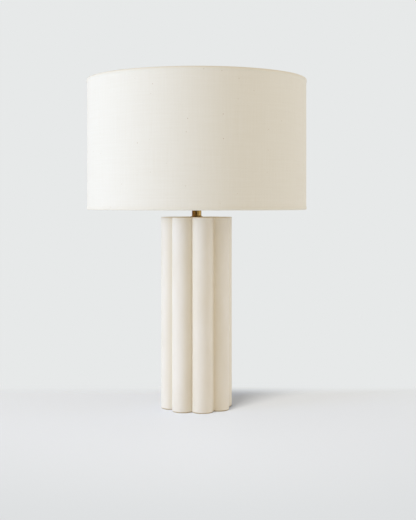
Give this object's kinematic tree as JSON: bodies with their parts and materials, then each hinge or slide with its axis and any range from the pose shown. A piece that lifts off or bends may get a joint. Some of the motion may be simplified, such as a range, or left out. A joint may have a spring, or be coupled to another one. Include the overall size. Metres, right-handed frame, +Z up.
{
  "type": "ceramic table lamp",
  "caption": "Table lamp with a lobed cream ceramic column, brass neck, turn-knob socket and harp, and an off-white linen drum shade on a wire spider.",
  "frame": {"origin": "on the lamp's axis, where the felt meets the table", "axes": "+Z up along the lamp's axis, the switch knob towards -Y and the cord outlet towards +Y"},
  "size_m": [0.4079, 0.408, 0.6173],
  "materials": {
    "cream_glaze": "satin cream glaze",
    "felt": "pressed wool felt",
    "pressed_steel": "zinc plated pressed steel",
    "threaded_steel": "zinc plated, threaded",
    "aged_brass": "aged brass, turned and lacquered",
    "socket_brass": "drawn brass sheet",
    "harp_brass": "brass plated steel",
    "black_phenolic": "moulded phenolic",
    "brown_bush": "moulded nylon",
    "fibre_board": "varnished fibre board",
    "contact_brass": "bright brass",
    "frosted_glass": "inside frosted",
    "nickel_cap": "nickel plated brass",
    "linen": "off-white linen, plain weave",
    "liner_film": "translucent styrene sheet",
    "white_wire": "white powder coat"
  },
  "bodies": {
    "base": {"ceramic_column": "cream_glaze", "felt_pad": "felt", "bottom_plate": "pressed_steel", "bottom_washer": "threaded_steel", "bottom_nut": "threaded_steel", "lamp_pipe": "threaded_steel", "cord_bushing": "brown_bush", "seat_ring": "aged_brass", "neck": "aged_brass", "harp_saddle": "harp_brass", "harp_wire": "harp_brass", "harp_stud": "harp_brass", "socket_cap": "socket_brass", "set_screw": "threaded_steel", "socket_shell": "socket_brass", "socket_liner": "fibre_board", "socket_core": "black_phenolic", "screw_shell": "contact_brass", "centre_contact": "contact_brass", "terminal_screws": "contact_brass"},
    "sleeve_left": {"harp_sleeve_left": "harp_brass"},
    "sleeve_right": {"harp_sleeve_right": "harp_brass"},
    "switch": {"switch_shaft": "threaded_steel", "switch_knob": "black_phenolic"},
    "bulb": {"bulb_glass": "frosted_glass", "bulb_cap": "nickel_cap", "bulb_insulator": "black_phenolic", "bulb_contact": "contact_brass"},
    "finial": {"finial": "aged_brass"},
    "shade": {"shade_fabric": "linen", "shade_liner": "liner_film", "top_trim": "linen", "bottom_trim": "linen", "top_ring": "white_wire", "bottom_ring": "white_wire", "spider_hub": "white_wire", "spider_arm_back": "white_wire", "spider_arm_left": "white_wire", "spider_arm_right": "white_wire"}
  },
  "joints": [
    {"name": "shade_turn", "type": "hinge", "parent": "base", "child": "shade", "pos_m": [0, 0, 0.591], "axis": [0, 0, 1], "continuous": true},
    {"name": "finial_turn", "type": "hinge", "parent": "base", "child": "finial", "pos_m": [0, 0, 0.5943], "axis": [0, 0, 1], "continuous": true},
    {"name": "switch_turn", "type": "hinge", "parent": "base", "child": "switch", "pos_m": [0, -0.01935, 0.4125], "axis": [0, -1, 0], "continuous": true},
    {"name": "bulb_turn", "type": "hinge", "parent": "base", "child": "bulb", "pos_m": [0, 0, 0.4223], "axis": [0, 0, 1], "continuous": true},
    {"name": "sleeve_left_lift", "type": "slide", "parent": "base", "child": "sleeve_left", "axis": [0, 0, 1], "range_m": [0, 0.014]},
    {"name": "sleeve_right_lift", "type": "slide", "parent": "base", "child": "sleeve_right", "axis": [0, 0, 1], "range_m": [0, 0.014]}
  ]
}
